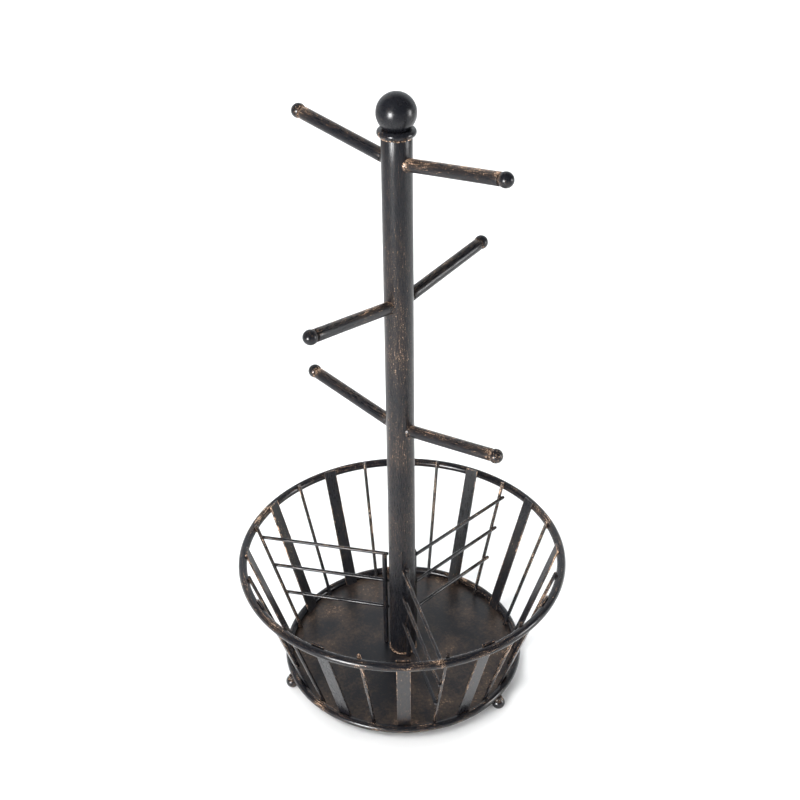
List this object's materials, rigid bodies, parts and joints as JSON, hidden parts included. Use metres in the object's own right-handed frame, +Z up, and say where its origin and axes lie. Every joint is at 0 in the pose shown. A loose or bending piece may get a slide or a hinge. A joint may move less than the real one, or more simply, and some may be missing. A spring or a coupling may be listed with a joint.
{
  "type": "mug tree",
  "caption": "Tall round post with tiers of ball-tipped arms for hanging mugs, standing in a round flared wire basket with radial dividers, a solid base plate and ball feet.",
  "frame": {"origin": "on the post's axis, at the level of the table under the ball feet", "axes": "+Z up along the post; the basket's three dividers point 45, 165 and 285 degrees round from +X towards +Y; -Y faces the viewer"},
  "size_m": [0.233, 0.233, 0.436],
  "materials": {
    "antique_bronze": "semi-gloss near-black bronze with copper-brown rubbed edges",
    "finial_black": "smooth satin near-black",
    "zinc_hardware": "bright zinc plate"
  },
  "bodies": {
    "root": {"post": "antique_bronze", "finial_ball": "finial_black", "finial_collar": "antique_bronze", "finial_stud": "zinc_hardware", "post_top_plug": "zinc_hardware", "post_foot_plug": "zinc_hardware", "arm_1": "antique_bronze", "arm_2": "antique_bronze", "arm_3": "antique_bronze", "arm_4": "antique_bronze", "arm_5": "antique_bronze", "arm_6": "antique_bronze", "arm_tip_1": "antique_bronze", "arm_tip_2": "antique_bronze", "arm_tip_3": "antique_bronze", "arm_tip_4": "antique_bronze", "arm_tip_5": "antique_bronze", "arm_tip_6": "antique_bronze", "rim_ring": "antique_bronze", "base_ring": "antique_bronze", "base_plate": "antique_bronze", "strap_1": "antique_bronze", "strap_2": "antique_bronze", "strap_3": "antique_bronze", "strap_4": "antique_bronze", "strap_5": "antique_bronze", "strap_6": "antique_bronze", "strap_7": "antique_bronze", "strap_8": "antique_bronze", "strap_9": "antique_bronze", "strap_10": "antique_bronze", "strap_11": "antique_bronze", "strap_12": "antique_bronze", "wire_1": "antique_bronze", "wire_2": "antique_bronze", "wire_3": "antique_bronze", "wire_4": "antique_bronze", "wire_5": "antique_bronze", "wire_6": "antique_bronze", "wire_7": "antique_bronze", "wire_8": "antique_bronze", "wire_9": "antique_bronze", "wire_10": "antique_bronze", "wire_11": "antique_bronze", "wire_12": "antique_bronze", "divider_upright_1": "antique_bronze", "divider_upright_2": "antique_bronze", "divider_upright_3": "antique_bronze", "divider_rungs_1": "antique_bronze", "divider_rungs_2": "antique_bronze", "divider_rungs_3": "antique_bronze", "foot_1": "antique_bronze", "foot_2": "antique_bronze", "foot_3": "antique_bronze", "base_screw": "zinc_hardware", "base_washer": "zinc_hardware"}
  },
  "joints": []
}
